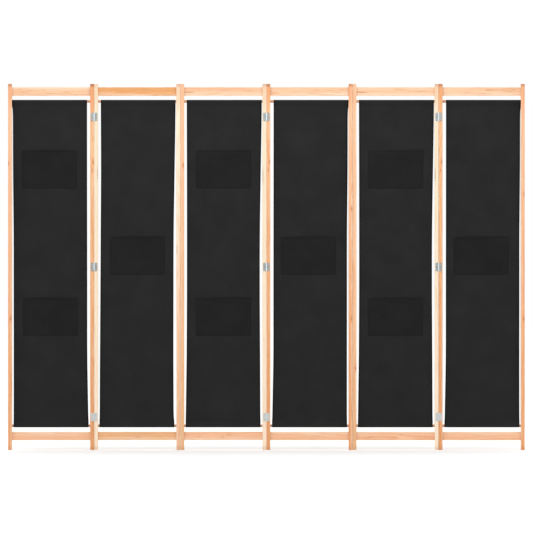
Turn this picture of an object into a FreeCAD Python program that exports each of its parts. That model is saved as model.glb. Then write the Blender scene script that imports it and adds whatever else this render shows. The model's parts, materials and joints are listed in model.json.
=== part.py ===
import FreeCAD, Part
import os

# A folding room divider: wooden frames hinged side by side, each with a cloth held between two rods.
# Every frame is two posts set edge-on, a top rail and a bottom rail tenoned into them, and two round
# rods that stretch a cloth with open-topped pockets. Neighbouring frames are joined by three butt
# hinges, on the front and on the back by turns, so that the screen folds like an accordion.
#
# Millimetres. +X runs along the screen, -Y is its front, +Z is up, and the origin is on the floor at
# the middle of the screen. Panels are numbered from the left, as seen from the front.

# The whole screen, standing flat
PANEL_COUNT = 6
SCREEN_WIDTH = 2400.0
SCREEN_HEIGHT = 1700.0
PANEL_GAP = 0.6
PANEL_WIDTH = (SCREEN_WIDTH - (PANEL_COUNT - 1) * PANEL_GAP) / PANEL_COUNT
PANEL_PITCH = PANEL_WIDTH + PANEL_GAP

# Frame timber
POST_WIDTH = 18.0
POST_DEPTH = 40.0
POST_EDGE_RADIUS = 2.0
POST_TOP_CHAMFER = 1.2
RAIL_HEIGHT = 40.0
RAIL_DEPTH = 18.0
RAIL_EDGE_RADIUS = 1.5
TOP_RAIL_DROP = 15.0
BOTTOM_RAIL_CLEARANCE = 44.5
TENON_LENGTH = 10.0
TENON_HEIGHT = 25.0
TENON_DEPTH = 10.0
OPENING_WIDTH = PANEL_WIDTH - 2 * POST_WIDTH

# Rods that stretch the cloth
ROD_DIAMETER = 12.0
ROD_SOCKET_DEPTH = 8.0
ROD_BELOW_TOP_RAIL = 25.8
ROD_ABOVE_BOTTOM_RAIL = 27.5
TOP_ROD_Z = SCREEN_HEIGHT - TOP_RAIL_DROP - RAIL_HEIGHT - ROD_BELOW_TOP_RAIL
BOTTOM_ROD_Z = BOTTOM_RAIL_CLEARANCE + RAIL_HEIGHT + ROD_ABOVE_BOTTOM_RAIL

# Cloth: a flat sheet with a sleeve round each rod
CLOTH_WIDTH = 342.0
CLOTH_THICKNESS = 0.8
SLEEVE_EASE = 0.3

# Pockets: cloth patches sewn to the front of the sheet along three sides, open at the top
POCKET_WIDTH = 256.0
POCKET_HEIGHT = 176.0
POCKET_DEPTH = 6.0
POCKET_WALL = 0.8
UPPER_POCKET_Z = 1215.0
MIDDLE_POCKET_Z = 814.0
LOWER_POCKET_Z = 530.0

# Butt hinges: two leaves with interleaved knuckles on a headed pin
HINGE_HEIGHT = 38.0
HINGE_FROM_END = 153.0
HINGE_LEVELS = (HINGE_FROM_END, SCREEN_HEIGHT / 2, SCREEN_HEIGHT - HINGE_FROM_END)
HINGE_AXIS_OUT = 2.0
LEAF_REACH = 14.5
LEAF_THICKNESS = 1.0
LEAF_CORNER_RADIUS = 1.5
LEAF_NOTCH = 2.9
KNUCKLE_RADIUS = 2.5
KNUCKLE_COUNT = 5
KNUCKLE_GAP = 0.3
PIN_RADIUS = 1.1
PIN_CLEARANCE = 0.2
PIN_PLAY = 0.1
PIN_HEAD_RADIUS = 1.9
PIN_HEAD_HEIGHT = 0.8

# Countersunk screws, two to a leaf
SCREW_FROM_AXIS = 8.6
SCREW_SPREAD = 22.0
SCREW_HEAD_RADIUS = 2.7
SCREW_SHANK_RADIUS = 1.4
SCREW_HEAD_HEIGHT = 1.3
SCREW_LENGTH = 13.0
SCREW_POINT = 2.5
RECESS_LENGTH = 2.8
RECESS_WIDTH = 0.6
RECESS_DEPTH = 0.6

FRONT = -1
BACK = 1


def vector(x, y, z):
    return FreeCAD.Vector(x, y, z)


def box(size, centre):
    """A box of the given size about its centre."""
    corner = [c - s / 2 for c, s in zip(centre, size)]
    return Part.makeBox(*size, vector(*corner))


def edges_along(shape, direction):
    """The straight edges of a shape that run along a direction."""
    found = []
    for edge in shape.Edges:
        if abs(edge.tangentAt(edge.FirstParameter).dot(direction)) > 0.999:
            found.append(edge)
    return found


def cylinder(radius, start, direction, length):
    return Part.makeCylinder(radius, length, start, direction)


def panel_left(number):
    """The X of a panel's left side."""
    return -SCREEN_WIDTH / 2 + (number - 1) * PANEL_PITCH


def panel_middle(number):
    return panel_left(number) + PANEL_WIDTH / 2


def joint_x(number):
    """The X of the hinge line between a panel and the next one."""
    return panel_left(number) + PANEL_WIDTH + PANEL_GAP / 2


def joint_side(number):
    """Which face the hinges of a joint are on: the front of odd joints, the back of even ones."""
    return FRONT if number % 2 else BACK


# Timber

def make_post(left):
    """A post with eased edges, standing with its left side at the given X."""
    centre = (left + POST_WIDTH / 2, 0, SCREEN_HEIGHT / 2)
    post = box((POST_WIDTH, POST_DEPTH, SCREEN_HEIGHT), centre)
    post = post.makeFillet(POST_EDGE_RADIUS, edges_along(post, vector(0, 0, 1)))
    top = max(post.Faces, key=lambda face: face.CenterOfMass.z)
    return post.makeChamfer(POST_TOP_CHAMFER, top.Edges)


def make_rail(middle, bottom):
    """A rail between two posts, with a stub tenon at each end."""
    centre = (middle, 0, bottom + RAIL_HEIGHT / 2)
    rail = box((OPENING_WIDTH, RAIL_DEPTH, RAIL_HEIGHT), centre)
    rail = rail.makeFillet(RAIL_EDGE_RADIUS, edges_along(rail, vector(1, 0, 0)))
    tenons = box((OPENING_WIDTH + 2 * TENON_LENGTH, TENON_DEPTH, TENON_HEIGHT), centre)
    return rail.fuse(tenons).removeSplitter()


def make_rod(middle, level):
    """A round rod that reaches into a blind socket in each post."""
    length = OPENING_WIDTH + 2 * ROD_SOCKET_DEPTH
    return cylinder(ROD_DIAMETER / 2, vector(middle - length / 2, 0, level), vector(1, 0, 0), length)


# Cloth and pockets

def make_sleeve(middle, level):
    """The tube of cloth round a rod."""
    start = vector(middle - CLOTH_WIDTH / 2, 0, level)
    inner = ROD_DIAMETER / 2 + SLEEVE_EASE
    tube = cylinder(inner + CLOTH_THICKNESS, start, vector(1, 0, 0), CLOTH_WIDTH)
    return tube.cut(cylinder(inner, start, vector(1, 0, 0), CLOTH_WIDTH))


def make_cloth(middle):
    """The flat sheet, and a sleeve that meets it at each rod."""
    sleeves = [make_sleeve(middle, level) for level in (BOTTOM_ROD_Z, TOP_ROD_Z)]
    height = TOP_ROD_Z - BOTTOM_ROD_Z
    sheet = box((CLOTH_WIDTH, CLOTH_THICKNESS, height), (middle, 0, (TOP_ROD_Z + BOTTOM_ROD_Z) / 2))
    sleeve_radius = ROD_DIAMETER / 2 + SLEEVE_EASE + CLOTH_THICKNESS
    for level in (BOTTOM_ROD_Z, TOP_ROD_Z):
        start = vector(middle - CLOTH_WIDTH / 2, 0, level)
        sheet = sheet.cut(cylinder(sleeve_radius, start, vector(1, 0, 0), CLOTH_WIDTH))
    return [sheet] + sleeves


def make_pocket(middle, bottom):
    """A patch with a front, two sides and a bottom. The sheet behind it closes its back."""
    back = -CLOTH_THICKNESS / 2
    outer_depth = POCKET_DEPTH + POCKET_WALL
    outer = box(
        (POCKET_WIDTH, outer_depth, POCKET_HEIGHT),
        (middle, back - outer_depth / 2, bottom + POCKET_HEIGHT / 2),
    )
    inner = box(
        (POCKET_WIDTH - 2 * POCKET_WALL, POCKET_DEPTH, POCKET_HEIGHT),
        (middle, back - POCKET_DEPTH / 2, bottom + POCKET_WALL + POCKET_HEIGHT / 2),
    )
    return outer.cut(inner)


def pocket_levels(number):
    """The bottoms of a panel's pockets: two on odd panels, one on even panels."""
    return (LOWER_POCKET_Z, UPPER_POCKET_Z) if number % 2 else (MIDDLE_POCKET_Z,)


# Hinges, drawn round an upright pin through the origin, with the timber behind it on the +Y side

def make_leaf(side, own_knuckles):
    """One leaf, towards -X or +X by its side, with the knuckles of its own numbers."""
    leaf = box(
        (LEAF_REACH, LEAF_THICKNESS, HINGE_HEIGHT),
        (side * LEAF_REACH / 2, HINGE_AXIS_OUT - LEAF_THICKNESS / 2, 0),
    )
    corners = [
        edge for edge in edges_along(leaf, vector(0, 1, 0))
        if abs(edge.CenterOfMass.x) > LEAF_REACH / 2
    ]
    leaf = leaf.makeFillet(LEAF_CORNER_RADIUS, corners)
    pitch = HINGE_HEIGHT / KNUCKLE_COUNT
    for knuckle in range(KNUCKLE_COUNT):
        bottom = knuckle * pitch - HINGE_HEIGHT / 2
        middle = bottom + pitch / 2
        if knuckle in own_knuckles:
            barrel_height = pitch - KNUCKLE_GAP
            start = vector(0, 0, middle - barrel_height / 2)
            leaf = leaf.fuse(cylinder(KNUCKLE_RADIUS, start, vector(0, 0, 1), barrel_height))
        else:
            notch_height = pitch + KNUCKLE_GAP
            leaf = leaf.cut(box((2 * LEAF_NOTCH, 2 * HINGE_AXIS_OUT, notch_height), (0, HINGE_AXIS_OUT, middle)))
    bore = cylinder(PIN_RADIUS + PIN_CLEARANCE, vector(0, 0, -HINGE_HEIGHT), vector(0, 0, 1), 2 * HINGE_HEIGHT)
    return leaf.cut(bore).removeSplitter()


def make_pin():
    """A pin with a low bevelled head on each end, just clear of the leaves and the barrel."""
    half = HINGE_HEIGHT / 2 + PIN_PLAY
    pin = cylinder(PIN_RADIUS, vector(0, 0, -half), vector(0, 0, 1), 2 * half)
    heads = [
        Part.makeCone(PIN_HEAD_RADIUS, PIN_RADIUS, PIN_HEAD_HEIGHT, vector(0, 0, end * half), vector(0, 0, end))
        for end in (-1, 1)
    ]
    return pin.fuse(heads).removeSplitter()


def make_screw(solid_head):
    """A countersunk screw pointing along +Y, with its head's face at y = 0.

    With a solid head it is the shape of the hole that the screw fills.
    """
    head_end = vector(0, SCREW_HEAD_HEIGHT, 0)
    shank_length = SCREW_LENGTH - SCREW_HEAD_HEIGHT - SCREW_POINT
    along = vector(0, 1, 0)
    head = Part.makeCone(SCREW_HEAD_RADIUS, SCREW_SHANK_RADIUS, SCREW_HEAD_HEIGHT, vector(0, 0, 0), along)
    shank = cylinder(SCREW_SHANK_RADIUS, head_end, along, shank_length)
    point = Part.makeCone(SCREW_SHANK_RADIUS, 0, SCREW_POINT, vector(0, SCREW_LENGTH - SCREW_POINT, 0), along)
    screw = head.fuse([shank, point]).removeSplitter()
    if solid_head:
        return screw
    for size in ((RECESS_LENGTH, 2 * RECESS_DEPTH, RECESS_WIDTH), (RECESS_WIDTH, 2 * RECESS_DEPTH, RECESS_LENGTH)):
        screw = screw.cut(box(size, (0, 0, 0)))
    return screw


def place_hinge_part(shape, number, level):
    """Moves a part drawn at the origin to a joint, turned round if that joint's hinges are on the back."""
    placed = shape.copy()
    if joint_side(number) == BACK:
        placed.rotate(vector(0, 0, 0), vector(0, 0, 1), 180)
    axis_y = joint_side(number) * (POST_DEPTH / 2 + HINGE_AXIS_OUT)
    placed.translate(vector(joint_x(number), axis_y, level))
    return placed


# Each leaf of a hinge by its side: the left one carries the outer and middle knuckles, and the pin
LEFT_LEAF = make_leaf(-1, (0, 2, 4))
RIGHT_LEAF = make_leaf(1, (1, 3))
SCREW = make_screw(solid_head=False)
SCREW_HOLE = make_screw(solid_head=True)
LEAVES = {-1: LEFT_LEAF, 1: RIGHT_LEAF}


def screw_places(side):
    """Where the screws of one leaf are, before the hinge is placed."""
    head_y = HINGE_AXIS_OUT - LEAF_THICKNESS
    return [vector(side * SCREW_FROM_AXIS, head_y, up * SCREW_SPREAD / 2) for up in (-1, 1)]


def hinge_side(number, panel):
    """The side of the hinge, as drawn, that a panel's leaf is on. A hinge on the back is turned round."""
    towards = -1 if panel == number else 1
    return towards if joint_side(number) == FRONT else -towards


def panel_hardware(panel):
    """The leaves, the screws and the screw holes of one panel, from the joints on its two sides."""
    leaves, screws, holes = [], [], []
    for number in (panel - 1, panel):
        if not 1 <= number < PANEL_COUNT:
            continue
        side = hinge_side(number, panel)
        for level in HINGE_LEVELS:
            leaf = LEAVES[side]
            for place in screw_places(side):
                screw, hole = SCREW.copy(), SCREW_HOLE.copy()
                screw.translate(place)
                hole.translate(place)
                leaf = leaf.cut(hole)
                screws.append(place_hinge_part(screw, number, level))
                holes.append(place_hinge_part(hole, number, level))
            leaves.append(place_hinge_part(leaf, number, level))
    return leaves, screws, holes


def save(name, solids):
    """Writes one node, a single solid or a group of separate ones."""
    shape = solids[0] if len(solids) == 1 else Part.makeCompound(solids)
    for solid in solids:
        if not solid.isValid() or len(solid.Solids) != 1:
            raise ValueError(f"{name} holds a shape that is not one sound solid")
    shape.exportStep(f"parts/{name}.step")


def make_panel(number):
    """Builds one panel and writes its nodes."""
    name = f"panel_{number}"
    left, middle = panel_left(number), panel_middle(number)
    top_rail = make_rail(middle, SCREEN_HEIGHT - TOP_RAIL_DROP - RAIL_HEIGHT)
    bottom_rail = make_rail(middle, BOTTOM_RAIL_CLEARANCE)
    rods = [make_rod(middle, level) for level in (BOTTOM_ROD_Z, TOP_ROD_Z)]
    leaves, screws, holes = panel_hardware(number)
    for side, post_left in (("left", left), ("right", left + PANEL_WIDTH - POST_WIDTH)):
        post = make_post(post_left)
        near = [hole for hole in holes if post.BoundBox.intersect(hole.BoundBox)]
        save(f"{name}_{side}_post", [post.cut([top_rail, bottom_rail] + rods + near)])
    save(f"{name}_top_rail", [top_rail])
    save(f"{name}_bottom_rail", [bottom_rail])
    save(f"{name}_cloth_rods", rods)
    save(f"{name}_cloth", make_cloth(middle))
    save(f"{name}_pockets", [make_pocket(middle, level) for level in pocket_levels(number)])
    save(f"{name}_hinge_leaves", leaves)
    save(f"{name}_hinge_screws", screws)


os.makedirs("parts", exist_ok=True)
for panel_number in range(1, PANEL_COUNT + 1):
    make_panel(panel_number)
PIN = make_pin()
for joint_number in range(1, PANEL_COUNT):
    pins = [place_hinge_part(PIN, joint_number, level) for level in HINGE_LEVELS]
    save(f"hinge_pins_{joint_number}_{joint_number + 1}", pins)
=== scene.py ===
import json
import math
import random

import bpy
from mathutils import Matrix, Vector, noise


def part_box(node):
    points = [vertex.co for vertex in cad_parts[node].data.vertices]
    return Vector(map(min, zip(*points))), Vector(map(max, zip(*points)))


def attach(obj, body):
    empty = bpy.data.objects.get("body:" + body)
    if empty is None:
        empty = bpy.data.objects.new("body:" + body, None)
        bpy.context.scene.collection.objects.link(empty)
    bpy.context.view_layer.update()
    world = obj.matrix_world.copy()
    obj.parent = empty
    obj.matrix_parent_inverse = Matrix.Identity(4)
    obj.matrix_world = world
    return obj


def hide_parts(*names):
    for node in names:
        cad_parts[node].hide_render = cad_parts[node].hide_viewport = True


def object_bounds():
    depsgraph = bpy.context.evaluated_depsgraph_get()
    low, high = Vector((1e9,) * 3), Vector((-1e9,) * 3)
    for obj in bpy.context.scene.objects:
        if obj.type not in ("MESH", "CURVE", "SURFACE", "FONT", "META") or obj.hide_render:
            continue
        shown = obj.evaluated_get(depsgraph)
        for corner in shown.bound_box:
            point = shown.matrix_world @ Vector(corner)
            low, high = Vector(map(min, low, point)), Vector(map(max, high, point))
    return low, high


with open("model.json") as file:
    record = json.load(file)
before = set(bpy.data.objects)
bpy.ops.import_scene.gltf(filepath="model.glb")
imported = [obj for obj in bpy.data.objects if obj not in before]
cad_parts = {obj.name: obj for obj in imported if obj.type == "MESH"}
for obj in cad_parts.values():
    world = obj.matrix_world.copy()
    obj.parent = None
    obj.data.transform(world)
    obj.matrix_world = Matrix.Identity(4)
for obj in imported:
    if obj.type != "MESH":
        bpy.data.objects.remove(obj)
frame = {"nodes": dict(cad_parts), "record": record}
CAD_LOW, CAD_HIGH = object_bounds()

# A folding screen of six fir frames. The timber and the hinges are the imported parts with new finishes.
# The cloths, their pockets and the stitches are made here, in metres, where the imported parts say.
# +X runs along the screen, -Y is its front and +Z is up.

PANEL_COUNT = 6

# Cloth: how it was cut and sewn. A layer is how far one thickness of it lies from the next.
CLOTH_WIDTH = 0.342
CLOTH_THICKNESS = 0.0005
LAYER = 0.00066
HEM_DEPTH = 0.012
HEM_SEAM = 0.010
SLEEVE_EASE = 0.0011
SLEEVE_SEAM = 0.022
SEAM_ALLOWANCE = 0.007
CLOTH_STEP = 0.005

# Pockets: a patch sewn on along three sides, with a turned hem along its open top
POCKET_THICKNESS = 0.00045
POCKET_BORDER = 0.008
POCKET_HEM = 0.020
POCKET_CORNER = 0.007
POCKET_STEP = 0.005
POCKET_BELLY = 0.0045
EDGE_STITCH = 0.0025

# Thread
STITCH_PITCH = 0.0036
STITCH_LENGTH = 0.0029
THREAD = 0.00042
TACK_PITCH = 0.0008
TACK_LENGTH = 3.4 * THREAD


class Panel:
    """Where one frame and what it holds are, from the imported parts."""

    def __init__(self, number):
        self.number = number
        self.body = f"panel_{number}"
        self.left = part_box(f"{self.body}_left_post")[1].x
        self.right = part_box(f"{self.body}_right_post")[0].x
        self.middle = (self.left + self.right) / 2
        rods_low, rods_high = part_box(f"{self.body}_cloth_rods")
        self.rod_radius = (rods_high.y - rods_low.y) / 2
        self.bottom_rod = rods_low.z + self.rod_radius
        self.top_rod = rods_high.z - self.rod_radius
        self.bottom_seam = self.bottom_rod + SLEEVE_SEAM
        self.top_seam = self.top_rod - SLEEVE_SEAM
        self.pockets_low, self.pockets_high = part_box(f"{self.body}_pockets")

    def node(self, part):
        return f"{self.body}_{part}"


PANELS = [Panel(number) for number in range(1, PANEL_COUNT + 1)]


# ---------------------------------------------------------------- shader maths

def operator_pair(operation):
    """An operator on a signal, and its reflected form. Each use of either adds one Math node."""

    def forward(signal, other):
        return signal.finish.math(operation, signal, other)

    def reflected(signal, other):
        return signal.finish.math(operation, other, signal)

    return forward, reflected


class Signal:
    """A number that changes over a surface. Arithmetic on it adds Math nodes to its finish."""

    __add__, __radd__ = operator_pair("ADD")
    __sub__, __rsub__ = operator_pair("SUBTRACT")
    __mul__, __rmul__ = operator_pair("MULTIPLY")
    __truediv__, __rtruediv__ = operator_pair("DIVIDE")
    __pow__, __rpow__ = operator_pair("POWER")

    def __init__(self, finish, socket):
        self.finish = finish
        self.socket = socket

    def __abs__(self):
        return self.finish.math("ABSOLUTE", self)

    def sine(self):
        return self.finish.math("SINE", self)

    def fraction(self):
        return self.finish.math("FRACT", self)

    def least(self, other):
        return self.finish.math("MINIMUM", self, other)

    def rise(self, start, end):
        """From 0 at start to 1 at end, smoothly. With end below start it falls."""
        values = {"Value": self, "From Min": start, "From Max": end}
        made = self.finish.node("ShaderNodeMapRange", {"interpolation_type": "SMOOTHSTEP"}, values)
        return Signal(self.finish, made.outputs["Result"])


class NodeTree:
    """A node tree being built."""

    def __init__(self, tree):
        self.tree = tree

    def node(self, kind, settings=None, inputs=None):
        """Adds a node: its settings first, then the values or links of its sockets."""
        made = self.tree.nodes.new(kind)
        for name, value in (settings or {}).items():
            setattr(made, name, value)
        for key, value in (inputs or {}).items():
            value = value.socket if isinstance(value, Signal) else value
            if isinstance(value, bpy.types.NodeSocket):
                self.tree.links.new(value, made.inputs[key])
            else:
                made.inputs[key].default_value = value
        return made


class Finish(NodeTree):
    """A material being made: one Principled shader and the nodes that feed it."""

    def __init__(self, name, **values):
        self.material = bpy.data.materials.new(name)
        self.material.use_nodes = True
        super().__init__(self.material.node_tree)
        self.tree.nodes.clear()
        named = {name.replace("_", " "): value for name, value in values.items()}
        self.shader = self.node("ShaderNodeBsdfPrincipled", {}, named)
        self.node("ShaderNodeOutputMaterial", {}, {"Surface": self.shader.outputs["BSDF"]})

    def math(self, operation, *values):
        made = self.node("ShaderNodeMath", {"operation": operation}, dict(enumerate(values)))
        return Signal(self, made.outputs[0])

    def mix(self, share, first, second):
        """Two colours, mixed by a share of the second."""
        first, second = [(*colour, 1) if isinstance(colour, tuple) else colour for colour in (first, second)]
        made = self.node("ShaderNodeMix", {"data_type": "RGBA"}, {0: share, 6: first, 7: second})
        return made.outputs[2]

    def place(self):
        """The three coordinates of a point, in metres."""
        coordinates = self.node("ShaderNodeTexCoord")
        return self.split(coordinates.outputs["Object"])

    def split(self, vector):
        made = self.node("ShaderNodeSeparateXYZ", {}, {0: vector})
        return [Signal(self, made.outputs[axis]) for axis in range(3)]

    def point(self, x, y, z):
        return self.node("ShaderNodeCombineXYZ", {}, {0: x, 1: y, 2: z}).outputs[0]

    def noise(self, point, scale, detail=2.0, roughness=0.5):
        values = {"Vector": point, "Scale": scale, "Detail": detail, "Roughness": roughness}
        return Signal(self, self.node("ShaderNodeTexNoise", {}, values).outputs[0])

    def bump(self, height, distance, strength=1.0):
        """Turns a height from 0 to 1 into the shader's normal."""
        made = self.node("ShaderNodeBump", {}, {"Strength": strength, "Distance": distance, "Height": height})
        self.feed("Normal", made.outputs[0])

    def feed(self, socket, value):
        value = value.socket if isinstance(value, Signal) else value
        self.tree.links.new(value, self.shader.inputs[socket])


# ---------------------------------------------------------------- timber

# Each tone is the colour of the soft early wood and of the hard late wood
TONES = {
    "orange": ((0.70, 0.405, 0.215), (0.58, 0.250, 0.090)),
    "amber": ((0.68, 0.318, 0.142), (0.55, 0.185, 0.055)),
    "russet": ((0.66, 0.300, 0.128), (0.54, 0.175, 0.050)),
    "deep": ((0.61, 0.298, 0.112), (0.51, 0.190, 0.052)),
    "peach": ((0.72, 0.428, 0.264), (0.62, 0.272, 0.128)),
    "straw": ((0.70, 0.450, 0.288), (0.58, 0.285, 0.140)),
    "rose": ((0.76, 0.445, 0.275), (0.64, 0.282, 0.130)),
    "cream": ((0.69, 0.600, 0.450), (0.63, 0.455, 0.270)),
    "pale": ((0.80, 0.650, 0.500), (0.72, 0.490, 0.305)),
    "brown": ((0.40, 0.190, 0.095), (0.28, 0.110, 0.045)),
}
KNOT_COLOUR = (0.320, 0.128, 0.050)
RESIN = (0.60, 0.225, 0.080)
STREAK_COLOUR = (0.310, 0.150, 0.075)
FLECK_COLOUR = (0.400, 0.160, 0.062)
ROD_COLOURS = (0.54, 0.290, 0.165), (0.46, 0.225, 0.120), (0.33, 0.150, 0.075)
END_STAIN = (0.30, 0.105, 0.042)

# Growth rings: how wide they are, how far the pith is beside a board and behind it, and how much they wander
RING = 0.0034
PITH_ASIDE = 0.004, 0.030
PITH_AWAY = 0.035, 0.070
POST_WANDER, RAIL_WANDER, RING_WAVE = 0.045, 0.022, 0.006
KNOT_PUSH = 0.010
HALO_REACH = 0.014
# A knot this many times longer than it is wide is a streak
STREAK_LENGTH = 4

# Where the arrises are worn pale with a painted highlight, and where they are knocked, as the distances from
# an arris where that starts and is complete
WORN_AND_HIGHLIT_ARRIS = 0.0042, 0.0010
KNOCKED_ARRIS = 0.0036, 0.0008
# How high the grime on a foot reaches, and how far below a post's end its stain starts and is complete
GRIME_HEIGHT = 0.030
SOAK_DEPTH = 0.170, 0.030
STAIN_DEPTH = 0.020, 0.003


class Board:
    """A board as its wood is laid out: along its grain, across its face and deep into it, in metres.

    A post's places along it are heights above the floor, and a rail's are from its middle.
    """

    def __init__(self, node, grain, seed):
        low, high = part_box(node)
        middle, half = (low + high) / 2, (high - low) / 2
        self.finish = Finish(node, Specular_IOR_Level=0.32)
        self.place = x, y, z = self.finish.place()
        self.upright = grain == "Z"
        if self.upright:
            self.along, self.across = z, x - middle.x
            self.near, self.far = low.z, high.z
            self.half_across = half.x
        else:
            self.along, self.across = x - middle.x, z - middle.z
            self.near, self.far = -half.x, half.x
            self.half_across = half.z
        self.deep, self.half_deep = y - middle.y, half.y
        draw = random.Random(seed)
        self.shift = draw.uniform(-9, 9)
        self.pith_across = draw.choice((-1, 1)) * draw.uniform(*PITH_ASIDE)
        self.pith_deep = draw.choice((-1, 1)) * draw.uniform(*PITH_AWAY)
        self.sap_side = draw.choice((-1, 1))

    def noise(self, crosswise, lengthwise, scale, detail=2.0, roughness=0.5):
        """A noise that is drawn out along the grain where lengthwise is less than crosswise."""
        across, deep = self.across * crosswise, self.deep * crosswise
        point = self.finish.point(across, deep, self.along * lengthwise + self.shift)
        return self.finish.noise(point, scale, detail, roughness)

    def from_pith(self):
        """How far a point is from the pith that the rings go round, which wanders beside the board."""
        slow, wavy = self.noise(3, 1.1, 1.0, 1.0), self.noise(9, 4.0, 1.0)
        aside, away = self.across - self.pith_across, self.deep - self.pith_deep
        wander = POST_WANDER if self.upright else RAIL_WANDER
        return (aside * aside + away * away) ** 0.5 + slow * wander + wavy * RING_WAVE

    def mark_knots(self, radius, knots):
        """Pushes the rings aside round each knot. Gives them with masks of knots, their resin and streaks."""
        knot_mask, halo, streak_mask = 0.0, 0.0, 0.0
        for knot_along, knot_across, half_width, half_length in knots:
            up, side = self.along - knot_along, self.across - knot_across
            distance = ((up / half_length) ** 2 + (side / half_width) ** 2) ** 0.5
            outline = self.finish.noise(self.finish.point(self.across, self.deep, self.along), 420)
            ragged = distance + (outline - 0.5) * 0.5
            if half_length > STREAK_LENGTH * half_width:
                streak_mask = ragged.rise(1.30, 0.35) + streak_mask
                continue
            radius = radius + distance.rise(3.6, 0.6) * KNOT_PUSH
            knot_mask = ragged.rise(1.15, 0.75) + knot_mask
            spread = (up / (half_length * 2 + HALO_REACH)) ** 2 + (side / (half_width * 2)) ** 2
            halo = spread.rise(1.0, 0.05) + halo
        return radius, knot_mask, halo, streak_mask

    def wood(self, tones, streaks, late, fibre, pore):
        """The colour of clear wood: its early and late wood, its pale sapwood, and its resin and pores."""
        mix = self.finish.mix
        band, patch = self.noise(14, 1.5, 2.6, 3.0, 0.6), self.noise(2, 1, 5.5)
        share = (self.along + (patch - 0.5) * (self.far - self.near) * 0.5).rise(self.near, self.far)
        far_tone, near_tone = [TONES[tone] for tone in tones]
        early_colour, late_colour = [mix(share, near, far) for near, far in zip(near_tone, far_tone)]
        colour = mix(late * 0.66 * patch.rise(0.15, 0.60), early_colour, late_colour)
        colour = mix(fibre.rise(0.42, 0.72) * 0.32, colour, late_colour)
        sap = (self.across * (self.sap_side / self.half_across) + (band - 0.5) * 5).rise(0.0, 1.1)
        colour = mix(sap * (0.54 - 0.38 * streaks), colour, TONES["pale"][0])
        colour = mix(band.rise(0.50, 0.70) * streaks, colour, RESIN)
        return mix(pore.rise(0.62, 0.80) * 0.20, colour, TONES["brown"][0])

    def arris_wear_and_highlight(self, colour):
        """Arrises made pale, partly worn by handling and partly a painted highlight where the rounded arris
        catches the light, with a few darker knocks.
        """
        to_side = self.half_across - abs(self.across)
        to_face = self.half_deep - abs(self.deep)
        to_arris = to_side + to_face
        knock = self.noise(1, 0.5, 55, 3.0, 0.7)
        # Partly wear and partly painted highlight: the arrises are paled towards cream
        worn_and_highlit = to_arris.rise(*WORN_AND_HIGHLIT_ARRIS) * knock.rise(0.38, 0.62)
        colour = self.finish.mix(worn_and_highlit * 0.40, colour, TONES["cream"][0])
        knocked = to_arris.rise(*KNOCKED_ARRIS) * knock.rise(0.34, 0.24)
        return self.finish.mix(knocked * 0.55, colour, TONES["brown"][0]), worn_and_highlit

    def soil(self, colour, stained_top):
        """A post's foot, grubby from the floor, and its top end, which took up more stain."""
        mix, height = self.finish.mix, self.along
        grime = self.finish.noise(self.finish.point(*self.place), 60, 3.0)
        foot = height.rise(GRIME_HEIGHT, 0.0) * (grime * 0.8 + 0.2)
        colour = mix(foot * 0.45, colour, TONES["brown"][1])
        soak = height.rise(*[self.far - depth for depth in SOAK_DEPTH])
        colour = mix(soak * (0.14 + 0.56 * stained_top), colour, RESIN)
        stain = height.rise(*[self.far - depth for depth in STAIN_DEPTH]) * (grime * 0.5 + 0.7)
        return mix((stain * stained_top).least(0.86), colour, END_STAIN)


def timber(node, tones, grain, seed, knots=(), streaks=0.5, stained_top=0.0):
    """Planed fir with its growth rings, fibres, resin and knots running through the solid.

    tones are at the two ends of the board, the upper or right one first. grain is the axis that the board was
    cut along. Each knot is how far it is along the board, how far across it, half its width and half its
    length. A long one is a resin pocket, which is a brown streak.
    """
    board = Board(node, grain, seed)
    finish = board.finish
    radius, knot_mask, halo, streak_mask = board.mark_knots(board.from_pith(), knots)
    ring = (radius / RING).fraction()
    late = ring.rise(0.35, 0.93) * ring.rise(1.0, 0.95)
    fibre = board.noise(12, 0.35, 70, 4.0, 0.65)
    pore = board.noise(5, 0.12, 420, 2.0, 0.6)
    colour = board.wood(tones, streaks, late, fibre, pore)
    if halo:
        colour = finish.mix((halo * 0.70).least(1.0), colour, RESIN)
        colour = finish.mix((knot_mask * 0.70).least(1.0), colour, KNOT_COLOUR)
    if streak_mask:
        streak_colour = STREAK_COLOUR if board.upright else FLECK_COLOUR
        colour = finish.mix((streak_mask * 0.74).least(1.0), colour, streak_colour)
    colour, worn_and_highlit = board.arris_wear_and_highlight(colour)
    if board.upright:
        colour = board.soil(colour, stained_top)
    finish.feed("Base Color", colour)
    finish.feed("Roughness", 0.50 + fibre * 0.16 - late * 0.06 + worn_and_highlit * 0.05)
    relief = late * 0.30 + fibre * 0.45 + pore * 0.25 - knot_mask * 0.15
    finish.bump(relief, 0.00022, 0.7)
    return finish.material


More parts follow.
